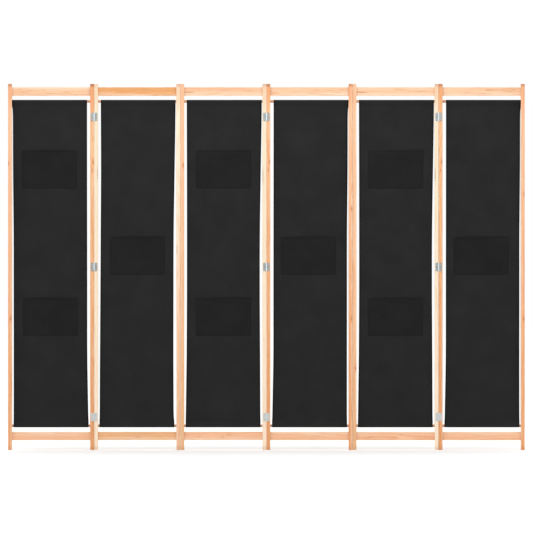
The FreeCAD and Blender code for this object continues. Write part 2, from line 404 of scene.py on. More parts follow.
# One line for each board: its tones, the share of resin streaks, its knots and the stain on its top end
HINGE_KNOT = (1.338, 0.005, 0.0038, 0.0060)
SMUDGE_BELOW = (1.300, 0.000, 0.0024, 0.0040)
OUTER_KNOT = (0.610, 0.004, 0.0036, 0.0052)
POSTS = {
    "panel_1_left_post": (("peach", "amber"), 0.42, (OUTER_KNOT, (1.330, -0.006, 0.0028, 0.0050)), 0.55),
    "panel_1_right_post": (("orange", "russet"), 0.72, (HINGE_KNOT, SMUDGE_BELOW), 1.00),
    "panel_2_left_post": (("cream", "pale"), 0.12, ((1.285, 0.007, 0.0022, 0.0400),), 0.10),
    "panel_2_right_post": (("pale", "peach"), 0.14, ((0.930, -0.006, 0.0018, 0.0300),), 0.38),
    "panel_3_left_post": (("peach", "orange"), 0.32, ((1.322, 0.004, 0.0032, 0.0050),), 0.06),
    "panel_3_right_post": (("cream", "pale"), 0.12, ((1.275, -0.007, 0.0022, 0.0450),), 0.35),
    "panel_4_left_post": (("orange", "russet"), 0.72, (HINGE_KNOT, SMUDGE_BELOW), 0.82),
    "panel_4_right_post": (("peach", "amber"), 0.40, (OUTER_KNOT, (1.120, 0.005, 0.0030, 0.0048)), 0.60),
    "panel_5_left_post": (("peach", "orange"), 0.32, ((0.380, 0.005, 0.0034, 0.0050),), 0.06),
    "panel_5_right_post": (("cream", "pale"), 0.12, ((1.275, -0.007, 0.0022, 0.0450),), 0.35),
    "panel_6_left_post": (("orange", "russet"), 0.72, (HINGE_KNOT, SMUDGE_BELOW), 0.82),
    "panel_6_right_post": (("peach", "amber"), 0.42, (OUTER_KNOT, (1.190, 0.005, 0.0028, 0.0045)), 0.60),
}
SWIRL = (
    (-0.148, 0.009, 0.0011, 0.016), (-0.128, -0.003, 0.0013, 0.030), (-0.100, 0.004, 0.0010, 0.014),
    (-0.032, 0.007, 0.0010, 0.018), (-0.010, -0.009, 0.0011, 0.034), (0.070, -0.004, 0.0009, 0.026),
)
SWIRL_BACK = tuple((-along, *rest) for along, *rest in SWIRL)
LICK = (-0.160, -0.003, 0.0034, 0.030), (0.120, 0.002, 0.0012, 0.034), (0.010, 0.006, 0.0010, 0.040)
EYES = (-0.006, -0.005, 0.0017, 0.009), (0.026, 0.008, 0.0014, 0.014), (-0.112, -0.004, 0.0011, 0.020)
TICKS = (-0.122, 0.001, 0.0010, 0.010), (0.004, -0.006, 0.0013, 0.016), (0.106, -0.004, 0.0010, 0.013)
RAILS = {
    "panel_1_top_rail": (("straw", "straw"), 0.34, SWIRL),
    "panel_2_top_rail": (("deep", "deep"), 0.40, ((0.036, 0.010, 0.0011, 0.024),)),
    "panel_3_top_rail": (("straw", "straw"), 0.36, LICK),
    "panel_4_top_rail": (("straw", "straw"), 0.34, SWIRL_BACK),
    "panel_5_top_rail": (("straw", "straw"), 0.36, LICK),
    "panel_6_top_rail": (("straw", "straw"), 0.34, SWIRL_BACK),
    "panel_1_bottom_rail": (("rose", "rose"), 0.28, ()),
    "panel_2_bottom_rail": (("orange", "orange"), 0.38, TICKS),
    "panel_3_bottom_rail": (("rose", "rose"), 0.34, EYES),
    "panel_4_bottom_rail": (("rose", "rose"), 0.28, ()),
    "panel_5_bottom_rail": (("rose", "rose"), 0.34, EYES),
    "panel_6_bottom_rail": (("rose", "rose"), 0.28, ()),
}


def dress(node, material):
    """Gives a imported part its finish."""
    mesh = frame["nodes"][node].data
    mesh.materials.clear()
    mesh.materials.append(material)


def rod_wood(node, seed):
    """Turned dowel, darker than the frame, with fine grain along it."""
    finish = Finish(node, Specular_IOR_Level=0.3)
    x, y, z = finish.place()
    fibre = finish.noise(finish.point(x * 0.05 + seed, y, z), 900, 3.0, 0.6)
    band = finish.noise(finish.point(x * 0.3 + seed, y, z), 60, 2.0)
    colour = finish.mix(fibre.rise(0.35, 0.7), ROD_COLOURS[0], ROD_COLOURS[1])
    colour = finish.mix(band.rise(0.5, 0.75) * 0.6, colour, ROD_COLOURS[2])
    finish.feed("Base Color", colour)
    finish.feed("Roughness", 0.55 + fibre * 0.15)
    finish.bump(fibre, 0.0001, 0.6)
    return finish.material


def finish_timber():
    for seed, (node, (tones, streaks, knots, stain)) in enumerate(POSTS.items(), 11):
        dress(node, timber(node, tones, "Z", seed, knots, streaks, stain))
    for seed, (node, (tones, streaks, knots)) in enumerate(RAILS.items(), 41):
        dress(node, timber(node, tones, "X", seed, knots, streaks))
    for panel in PANELS:
        node = panel.node("cloth_rods")
        dress(node, rod_wood(node, 71 + panel.number))


# ---------------------------------------------------------------- steel

# Each steel is its own colour and the brighter one of its bloom
LEAF_STEEL = (0.25, 0.285, 0.295), (0.36, 0.395, 0.400)
PALE_STEEL = (0.62, 0.63, 0.62), (0.74, 0.74, 0.72)
SCREW_STEEL = (0.36, 0.37, 0.37), (0.48, 0.49, 0.49)
BARREL_HIGHLIGHT = (0.90, 0.92, 0.93)
LIT_LOW_STEEL = (0.62, 0.64, 0.63)
SPECK_COLOUR = (0.17, 0.155, 0.14)
# How far from the middle of the frame the painted highlight on a hinge's barrel starts, and where it is full
BARREL_HIGHLIGHT_RISE = 0.0212, 0.0226
# The heights between which the hinges turn paler with painted light
LOW_HINGE = 0.40, 0.30


def rolled_steel(name, colour, bright, seed, barrel_highlight=None, lit_low_colour=None):
    """Zinc-plated sheet: fine rolling lines and a mottled bloom.

    A hinge's barrel, which stands proud of its leaves, gets a painted highlight, and the hinges low down are
    painted paler, as painted light.
    """
    finish = Finish(name, Metallic=1.0)
    x, y, z = finish.place()
    lines = finish.noise(finish.point(x * 40, y * 40, z + seed), 90, 3.0, 0.7)
    bloom = finish.noise(finish.point(x, y, z + seed), 260, 3.0, 0.6)
    speck = finish.noise(finish.point(x, y, z - seed), 1500, 2.0, 0.6)
    base = finish.mix(bloom.rise(0.35, 0.70), colour, bright)
    if barrel_highlight:
        # Painted highlight along the barrel
        base = finish.mix(abs(y).rise(*BARREL_HIGHLIGHT_RISE), base, barrel_highlight)
        # Painted light: the hinges low down get a paler copy of the steel
        base = finish.mix(z.rise(*LOW_HINGE) * 0.80, base, lit_low_colour)
    base = finish.mix(speck.rise(0.64, 0.78) * 0.5, base, SPECK_COLOUR)
    finish.feed("Base Color", base)
    finish.feed("Roughness", 0.30 + lines * 0.16 + bloom * 0.10)
    finish.bump(lines * 0.6 + speck * 0.4, 0.00006, 0.5)
    return finish.material


def finish_steel():
    for panel in PANELS:
        seed = panel.number * 3.7
        leaves, screws = panel.node("hinge_leaves"), panel.node("hinge_screws")
        dress(leaves, rolled_steel(leaves, *LEAF_STEEL, seed, BARREL_HIGHLIGHT, LIT_LOW_STEEL))
        dress(screws, rolled_steel(screws, *SCREW_STEEL, seed + 1))
    for number in range(1, PANEL_COUNT):
        node = f"hinge_pins_{number}_{number + 1}"
        dress(node, rolled_steel(node, *PALE_STEEL, number))


# ---------------------------------------------------------------- cloth finish

# How wide a yarn is, and how far from a turned edge the painted shade reaches
YARN = 0.00046
EDGE_SHADE_REACH = 0.0085
# How deep the painted shade over the edges is, on a cloth and on a pocket
CLOTH_PAINTED_SHADE = 0.90
POCKET_PAINTED_SHADE = 0.22
CLOTH_COLOUR, CLOTH_PALE = (0.0120, 0.0120, 0.0123), (0.0168, 0.0168, 0.0172)
# A pocket's colours are the cloth's made darker: painted shade standing in for the light that its double
# layer keeps from shining through
POCKET_SHADED_COLOUR, POCKET_SHADED_PALE = (0.0080, 0.0080, 0.0083), (0.0120, 0.0120, 0.0124)
LINT = (0.10, 0.10, 0.105)
THREAD_DARK, THREAD_PALE = (0.016, 0.016, 0.017), (0.034, 0.034, 0.036)


def times(share, colour):
    return tuple(share * part for part in colour)


def woven(name, colour, pale, seed, edges, shade):
    """Matt plain-woven polyester: crossing yarns with slubs and lint, with painted shade between the yarns
    and over its edges.

    edges are where those edges are on the cut cloth, two across it and two along it. shade is how deep the
    painted shade gets there.
    """
    finish = Finish(name, Specular_IOR_Level=0.10, Sheen_Weight=0.03, Sheen_Roughness=0.45)
    u, v, _ = finish.split(finish.node("ShaderNodeUVMap", {"uv_map": "weave"}).outputs[0])
    warp, weft = (u * (math.pi / YARN)).sine(), (v * (math.pi / YARN)).sine()
    crossing = warp * weft * 0.5 + 0.5
    slub_up = finish.noise(finish.point(u * 30 + seed, v, 0.0), 60, 2.0, 0.6)
    slub_across = finish.noise(finish.point(u, v * 30 + seed, 3.0), 60, 2.0, 0.6)
    cloudy = finish.noise(finish.point(u + seed, v, 7.0), 9, 3.0, 0.55)
    lint = finish.noise(finish.point(u * 2.2, v + seed, 11.0), 700, 2.0, 0.7)
    tone = cloudy * 0.55 + slub_up * 0.25 + slub_across * 0.20
    base = finish.mix(tone.rise(0.30, 0.70), colour, pale)
    for slub in (slub_up, slub_across):
        base = finish.mix(slub.rise(0.56, 0.72) * 0.30, base, times(1.45, pale))
    # Painted shade: the low points of the weave are darkened, standing in for the shade between the yarns
    base = finish.mix(crossing.rise(0.35, 0.0) * 0.70, base, times(0.30, colour))
    base = finish.mix(lint.rise(0.71, 0.80) * 0.35, base, LINT)
    # Painted shade: the colour darkens towards the turned edges, standing in for the shade along the folds
    from_side = abs(u - edges[0]).least(abs(u - edges[1]))
    from_end = abs(v - edges[2]).least(abs(v - edges[3]))
    painted_edge_shade = from_side.least(from_end).rise(EDGE_SHADE_REACH, EDGE_SHADE_REACH * 0.3)
    base = finish.mix(painted_edge_shade * shade, base, times(0.25, colour))
    finish.feed("Base Color", base)
    finish.feed("Roughness", 0.80 + crossing * 0.12)
    height = crossing * 0.55 + slub_up * 0.25 + slub_across * 0.20
    finish.bump(height, 0.00022, 0.9)
    return finish.material


def thread_finish():
    finish = Finish("black_thread", Specular_IOR_Level=0.25)
    x, y, z = finish.place()
    twist = ((x + y + z) * 5200).sine() * 0.5 + 0.5
    finish.feed("Base Color", finish.mix(twist, THREAD_DARK, THREAD_PALE))
    finish.feed("Roughness", 0.55 + twist * 0.2)
    finish.bump(twist, 0.00005, 0.6)
    return finish.material


# ---------------------------------------------------------------- cloth relaxation

def grid_places(columns, rows):
    """The points of a grid, row by row: each one's column and row, and its shares of the width and height."""
    for row in range(rows):
        for column in range(columns):
            yield column, row, column / (columns - 1), row / (rows - 1)


def grid_faces(columns, rows):
    """The four points of each of a grid's faces."""
    corners = [row * columns + column for row in range(rows - 1) for column in range(columns - 1)]
    return [(corner, corner + 1, corner + columns + 1, corner + columns) for corner in corners]


CLOTH_STIFFNESS = 20.0


def relax(name, start, cut, columns, rows, held, frames, gravity):
    """Settles a grid of cloth that is held at some points. cut is its shape before it was sewn."""
    mesh = bpy.data.meshes.new(name)
    mesh.from_pydata(start, [], grid_faces(columns, rows))
    piece = bpy.data.objects.new(name, mesh)
    bpy.context.scene.collection.objects.link(piece)
    piece.shape_key_add(name="held")
    shape = piece.shape_key_add(name="cut")
    for point, place in zip(shape.data, cut):
        point.co = place
    group = piece.vertex_groups.new(name="sewn")
    group.add(held, 1.0, "REPLACE")
    cloth = piece.modifiers.new("cloth", "CLOTH")
    settings = cloth.settings
    settings.quality = 6
    settings.mass = 0.02
    settings.tension_stiffness = CLOTH_STIFFNESS
    settings.compression_stiffness = CLOTH_STIFFNESS
    settings.shear_stiffness = CLOTH_STIFFNESS * 0.3
    settings.bending_stiffness = 0.08
    settings.tension_damping = 8
    settings.compression_damping = 8
    settings.shear_damping = 8
    settings.air_damping = 4
    settings.vertex_group_mass = group.name
    settings.rest_shape_key = shape
    settings.effector_weights.gravity = gravity
    cloth.point_cache.frame_start = 1
    cloth.point_cache.frame_end = frames
    for step in range(1, frames + 1):
        bpy.context.scene.frame_set(step)
    settled = piece.evaluated_get(bpy.context.evaluated_depsgraph_get()).data
    points = [vertex.co.copy() for vertex in settled.vertices]
    bpy.data.objects.remove(piece)
    bpy.data.meshes.remove(mesh)
    bpy.context.scene.frame_set(1)
    return points


def spline_weights(t):
    """How much each of four points in a row counts at t between the middle two."""
    return (
        0.5 * (-t + 2 * t * t - t ** 3),
        0.5 * (2 - 5 * t * t + 3 * t ** 3),
        0.5 * (t + 4 * t * t - 3 * t ** 3),
        0.5 * (t ** 3 - t * t),
    )


class Relief:
    """How far a settled cloth stands off its plane, read smoothly between the points of its grid."""

    def __init__(self, heights, columns, rows, limit):
        self.columns = columns
        self.rows = rows
        self.heights = [limit * math.tanh(height / limit) for height in heights]

    def at(self, across, up):
        """across and up run from 0 to 1."""
        column, row = across * (self.columns - 1), up * (self.rows - 1)
        first_column = min(max(int(column), 0), self.columns - 2)
        first_row = min(max(int(row), 0), self.rows - 2)
        side_weights = spline_weights(column - first_column)
        total = 0.0
        for step, weight in enumerate(spline_weights(row - first_row), -1):
            line = min(max(first_row + step, 0), self.rows - 1) * self.columns
            for side_step, side_weight in enumerate(side_weights, -1):
                place = min(max(first_column + side_step, 0), self.columns - 1)
                total += weight * side_weight * self.heights[line + place]
        return total


# The grid that a stretched sheet settles on, how much wider and shorter than it is held it was cut, how deep
# its first ripples are, how far it may stand off its plane, and for how long it settles
SHEET_COLUMNS, SHEET_ROWS = 36, 118
SHEET_SPARE = 1.012
SHEET_TAUT = 0.9985
SHEET_WAVE = 0.004
SHEET_LIMIT = 0.0042
SHEET_FRAMES = 30


def sheet_relief(panel):
    """The shallow folds of a cloth stretched between its rods, a little wider than it is held."""
    width, height = CLOTH_WIDTH, panel.top_seam - panel.bottom_seam
    start, cut, held = [], [], []
    for column, row, across, up in grid_places(SHEET_COLUMNS, SHEET_ROWS):
        waviness = noise.noise(Vector((across * 7, up * 4, panel.number * 5.3)))
        ease = 4 * up * (1 - up)
        start.append(((across - 0.5) * width, SHEET_WAVE * waviness * ease, up * height))
        cut.append(((across - 0.5) * width * SHEET_SPARE, 0.0, up * height * SHEET_TAUT))
        if row in (0, SHEET_ROWS - 1):
            held.append(row * SHEET_COLUMNS + column)
    name = panel.node("cloth_settling")
    settled = relax(name, start, cut, SHEET_COLUMNS, SHEET_ROWS, held, SHEET_FRAMES, gravity=0.6)
    heights = [point.y for point in settled]
    return Relief(heights, SHEET_COLUMNS, SHEET_ROWS, SHEET_LIMIT)


# ---------------------------------------------------------------- cloth shape

# How far down from its corner a cloth is pulled out, and the least it keeps from a post
CORNER_REACH = 0.018
POST_CLEARANCE = 0.0006


class Hang:
    """How far a cloth's sides are from the middle of its frame, at even steps from its top to its bottom.

    A corner is how much further out the cloth is pulled at the very top and the very bottom of that side.
    Both are given in millimetres.
    """

    def __init__(self, left, right, left_corners, right_corners):
        self.distances = {"left": left, "right": right}
        self.corners = {"left": left_corners, "right": right_corners}

    def mirrored(self):
        sides = self.distances["right"], self.distances["left"]
        return Hang(*sides, self.corners["right"], self.corners["left"])

    def distance(self, side, down, from_top, from_bottom):
        """down runs from 0 at the upper seam to 1 at the lower one. The result is in metres."""
        distances = self.distances[side]
        last = len(distances) - 1
        place = down * last
        first = min(int(place), last - 1)
        total = 0.0
        for step, weight in enumerate(spline_weights(place - first), -1):
            total += weight * distances[min(max(first + step, 0), last)]
        top, bottom = self.corners[side]
        total += top * math.exp(-from_top / CORNER_REACH) + bottom * math.exp(-from_bottom / CORNER_REACH)
        return total / 1000


CORNERED = Hang(
    left=(177.5, 176.9, 174.2, 173.9, 173.7, 173.7), left_corners=(3.8, 0.6),
    right=(166.7, 166.9, 167.2, 167.5, 168.0, 172.6), right_corners=(0, 1.2),
)
FLARED = Hang(
    left=(169.1, 168.2, 169.6, 171.2, 173.2, 174.3), left_corners=(0, 1.0),
    right=(177.7, 173.6, 169.3, 168.3, 168.0, 169.0), right_corners=(0, 3.0),
)
LEANING = Hang(
    left=(169.8, 169.2, 168.9, 169.1, 170.7, 174.2), left_corners=(0, 0.6),
    right=(178.3, 173.9, 169.8, 169.2, 170.8, 171.8), right_corners=(0, 0.8),
)
HANGS = (CORNERED, FLARED, LEANING, CORNERED.mirrored(), LEANING, CORNERED.mirrored())
# How far each cloth is off the middle of its frame
OFFSETS = (0.0, 0.0, 0.0, 0.0003, 0.0, 0.0012)

# Puckers: how deep they are along the hems and the seams, and over what distance they fade
HEM_PUCKER, HEM_FADE, HEM_WAVE_FADE = 0.0009, 0.011, 0.030
SEAM_PUCKER, SEAM_FADE = 0.0007, 0.020
# How far past a hem a sleeve's loose end drops back to the sheet, and how softly
FLAP_DROP, FLAP_SOFTNESS = 0.003, 0.0012


def soft_step(distance, edge, softness):
    """1 short of an edge and 0 past it, over a soft step."""
    return 1 / (1 + math.exp((distance - edge) / softness))


def steps_between(start, end, count):
    """A number of even steps from start to end, both of them included."""
    return [start + (end - start) * step / count for step in range(count + 1)]


class Cloth:
    """One cloth, as a surface that can be asked where any of its points is."""

    def __init__(self, panel):
        self.panel = panel
        self.hang = HANGS[panel.number - 1]
        self.relief = sheet_relief(panel)
        self.sleeve_radius = panel.rod_radius + SLEEVE_EASE

    def edges(self, z):
        panel = self.panel
        height = panel.top_seam - panel.bottom_seam
        from_top = min(max(panel.top_seam - z, 0.0), height)
        down = from_top / height
        middle = panel.middle + OFFSETS[panel.number - 1]
        left = middle - self.hang.distance("left", down, from_top, height - from_top)
        right = middle + self.hang.distance("right", down, from_top, height - from_top)
        return max(left, panel.left + POST_CLEARANCE), min(right, panel.right - POST_CLEARANCE)

    def x_at(self, across, z):
        left, right = self.edges(z)
        return left + across * (right - left)

    def pucker(self, across, z):
        """Small ripples that the thread draws up along the hems and the sleeve seams."""
        panel, seed = self.panel, self.panel.number * 2.9
        from_edge = min(across, 1 - across) * CLOTH_WIDTH
        side = seed + (17.0 if across > 0.5 else 0.0)
        hem = math.exp(-from_edge / HEM_FADE) * noise.noise(Vector((side, z * 62, from_edge * 25)))
        hem += 0.6 * math.exp(-from_edge / HEM_WAVE_FADE) * noise.noise(Vector((side, z * 19, 4.0)))
        x = across * CLOTH_WIDTH
        total = HEM_PUCKER * hem
        for level in (panel.bottom_seam, panel.top_seam):
            away = abs(z - level)
            gather = noise.noise(Vector((x * 95, seed, away * 12)))
            gather += 0.8 * noise.noise(Vector((x * 38, seed, level)))
            total += SEAM_PUCKER * math.exp(-away / SEAM_FADE) * gather
        return total

    def y_at(self, across, z):
        """How far back the sheet is, between its two seams."""
        panel = self.panel
        up = (z - panel.bottom_seam) / (panel.top_seam - panel.bottom_seam)
        up = min(max(up, 0.0), 1.0)
        return self.relief.at(across, up) + self.pucker(across, z)

    def point(self, across, z, behind=0.0):
        return Vector((self.x_at(across, z), self.y_at(across, z) + behind, z))

    def flap_gap(self, across):
        """How far a sleeve's loose end is behind the sheet: a layer, and three where both have their hems."""
        from_edge = min(across, 1 - across) * CLOTH_WIDTH
        return LAYER * (1 + 2 * soft_step(from_edge, HEM_DEPTH + FLAP_DROP, FLAP_SOFTNESS))


# Steps of the mesh round a rod, along the cloth's straight runs beside it, and along its loose end
TURN_STEPS, STRAIGHT_STEPS, LOOSE_STEPS = 18, 5, 3
LOOSE_CURL = LAYER * 0.4


def straight_path(start, end):
    """Even steps along a straight run, up to but not including its end, as (y, z)."""
    path = []
    for step in range(STRAIGHT_STEPS):
        share = step / STRAIGHT_STEPS
        path.append((start[0] + (end[0] - start[0]) * share, start[1] + (end[1] - start[1]) * share))
    return path


def sleeve_path(level, up, radius, gap):
    """The cloth's way from its loose end behind the sheet, round a rod, to the seam on the sheet, as (y, z).

    up is 1 at the lower rod and -1 at the upper one.
    """
    seam = level + up * SLEEVE_SEAM
    lean = math.acos(radius / SLEEVE_SEAM)
    turn = []
    for angle in steps_between(lean, 2 * math.pi - lean, TURN_STEPS):
        turn.append((radius * math.sin(angle), level + up * radius * math.cos(angle)))
    loose_end = []
    for step in range(LOOSE_STEPS):
        loose = 1 - step / LOOSE_STEPS
        loose_end.append((gap + LOOSE_CURL * loose, seam + up * SEAM_ALLOWANCE * loose))
    to_rod, to_seam = straight_path((gap, seam), turn[0]), straight_path(turn[-1], (0.0, seam))
    return loose_end + to_rod + turn[:-1] + to_seam


# How much closer together the levels near the seams are, as a share of the sheet's height
SEAM_CROWDING = 0.0042


def sheet_levels(low, high):
    """Heights up the sheet, closer together near its seams."""
    count = round((high - low) / CLOTH_STEP)
    levels = []
    for share in steps_between(0.0, 1.0, count):
        eased = share - SEAM_CROWDING * math.sin(2 * math.pi * share)
        levels.append(low + (high - low) * eased)
    return levels


# Places across a hem, from its fold inwards: where it starts to swell, where it is fullest and where it is
# flat again. Past its seam the cloth is single, and the plain columns start.
SWELL_START, SWELL_TOP, SWELL_END = 0.0012, 0.0030, 0.0070
SINGLE_START, PLAIN_START = 0.0125, 0.0165
BACK_SWELL, FRONT_SWELL = LAYER * 0.08, 0.00004
# How far the stitches draw a hem's two layers into each other
DRAWN_IN = LAYER * 0.14


def hem_columns(width):
    """Places across the cloth and both its hems: how far from the left edge, and how far behind the front."""
    fold = LAYER / 2
    side = [
        (HEM_DEPTH, LAYER), (HEM_SEAM, LAYER - DRAWN_IN), (SWELL_END, LAYER),
        (SWELL_TOP, LAYER + BACK_SWELL), (SWELL_START, LAYER),
    ]
    for angle in steps_between(0.0, math.pi, 4):
        side.append((fold - fold * math.sin(angle), fold + fold * math.cos(angle)))
    side += [
        (SWELL_START, 0.0), (SWELL_TOP, -FRONT_SWELL), (SWELL_END, 0.0),
        (HEM_SEAM, DRAWN_IN), (SINGLE_START, 0.0),
    ]
    count = round((width - 2 * PLAIN_START) / CLOTH_STEP)
    inner = [(place, 0.0) for place in steps_between(PLAIN_START, width - PLAIN_START, count)]
    return side + inner + [(width - away, behind) for away, behind in reversed(side)]


def running_length(points):
    """The length of a path up to each of its points."""
    lengths = [0.0]
    for start, end in zip(points, points[1:]):
        lengths.append(lengths[-1] + math.dist(start, end))
    return lengths


def make_mesh(name, rows, uvs, material, thickness):
    """A piece of cloth from rows of points, thickened evenly about them."""
    mesh = bpy.data.meshes.new(name)
    points = [point for row in rows for point in row]
    mesh.from_pydata(points, [], grid_faces(len(rows[0]), len(rows)))
    flat = [uv for row in uvs for uv in row]
    weave = mesh.uv_layers.new(name="weave")
    for loop in mesh.loops:
        weave.data[loop.index].uv = flat[loop.vertex_index]
    mesh.shade_smooth()
    mesh.materials.append(material)
    piece = bpy.data.objects.new(name, mesh)
    bpy.context.scene.collection.objects.link(piece)
    solidify = piece.modifiers.new("thickness", "SOLIDIFY")
    solidify.thickness = thickness
    solidify.offset = 0.0
    return piece


# A sleeve follows the ripples of its sheet by this share of them, and wholly at the seam
SLEEVE_FOLLOWS, SLEEVE_FADE = 0.35, 0.012


def strip_path(cloth, levels, across):
    """One line up the whole strip, from the lower sleeve's loose end to the upper one's, as (y, z)."""
    panel, gap = cloth.panel, cloth.flap_gap(across)
    lower = sleeve_path(panel.bottom_rod, 1, cloth.sleeve_radius, gap)
    upper = sleeve_path(panel.top_rod, -1, cloth.sleeve_radius, gap)
    return lower + [(0.0, level) for level in levels] + upper[::-1]


def strip_line(cloth, path, across, behind):
    """That line's points, a given depth behind the front layer."""
    panel = cloth.panel
    line = []
    for index, (y, z) in enumerate(path):
        before, after = path[max(index - 1, 0)], path[min(index + 1, len(path) - 1)]
        ahead = Vector((after[0] - before[0], after[1] - before[1])).normalized()
        level = min(max(z, panel.bottom_seam), panel.top_seam)
        share = SLEEVE_FOLLOWS + (1 - SLEEVE_FOLLOWS) * math.exp(-abs(z - level) / SLEEVE_FADE)
        lift = share * cloth.y_at(across, level)
        line.append((cloth.x_at(across, level), y + lift + behind * ahead.y, z - behind * ahead.x))
    return line


def make_cloth(cloth):
    """The whole strip: sleeve, sheet and sleeve, with its sides turned in and hemmed."""
    panel = cloth.panel
    columns = hem_columns(CLOTH_WIDTH)
    levels = sheet_levels(panel.bottom_seam, panel.top_seam)
    lines = []
    for from_left, behind in columns:
        across = from_left / CLOTH_WIDTH
        path = strip_path(cloth, levels, across)
        lines.append(strip_line(cloth, path, across, behind))
    across_length, up_length = running_length(columns), running_length(path)
    rows = list(zip(*lines))
    uvs = [[(u, v) for u in across_length] for v in up_length]
    name = panel.node("cloth_sewn")
    heights = [z for _, z in path]
    lowest, highest = heights.index(min(heights)), heights.index(max(heights))
    folds = (HEM_DEPTH, across_length[-1] - HEM_DEPTH, up_length[lowest], up_length[highest])
    material = woven(name, CLOTH_COLOUR, CLOTH_PALE, panel.number * 1.7, folds, CLOTH_PAINTED_SHADE)
    piece = make_mesh(name, rows, uvs, material, CLOTH_THICKNESS)
    return piece, (across_length[-1], up_length[-1])


# ---------------------------------------------------------------- pockets

# The patch is cut this much wider and taller than it is sewn
POCKET_WIDER, POCKET_TALLER = 1.004, 1.003
POCKET_WAVE = 0.003
POCKET_LIMIT = 0.02
LEAST_BELLY = 0.001
# How softly a hem's edge steps down, how far its stitches draw it in and over what width, and how far its
# folded edge is rounded
LEDGE_SOFTNESS = 0.0006
STITCH_DIP, STITCH_REACH = 0.00022, 0.0012
EDGE_ROLL = 0.0011
SLACK_START = 0.020
BORDER_PUCKER, BORDER_FADE = 0.00035, 0.010
LEAST_GAP = 0.0012
# Columns of mesh across a sewn border, and rows of it across the top hem
BORDER_STEPS = (0.0, 0.0003, 0.0008, 0.0015, EDGE_STITCH, 0.0038, 0.0070, POCKET_BORDER, 0.0092)
HEM_STEPS = (-0.0012, 0.0, 0.0012, EDGE_STITCH, 0.0040)
TOP_STEP = 0.0015
# A bar tack's two lines: their points, the step between those as a share of the patch's height, how far the
# second line is from the first as a share of the seam's distance from the edge, and where both start
TACK_POINTS, TACK_STEP, TACK_ASIDE = 12, 0.0055, 0.6
TACK_START = 0.0012


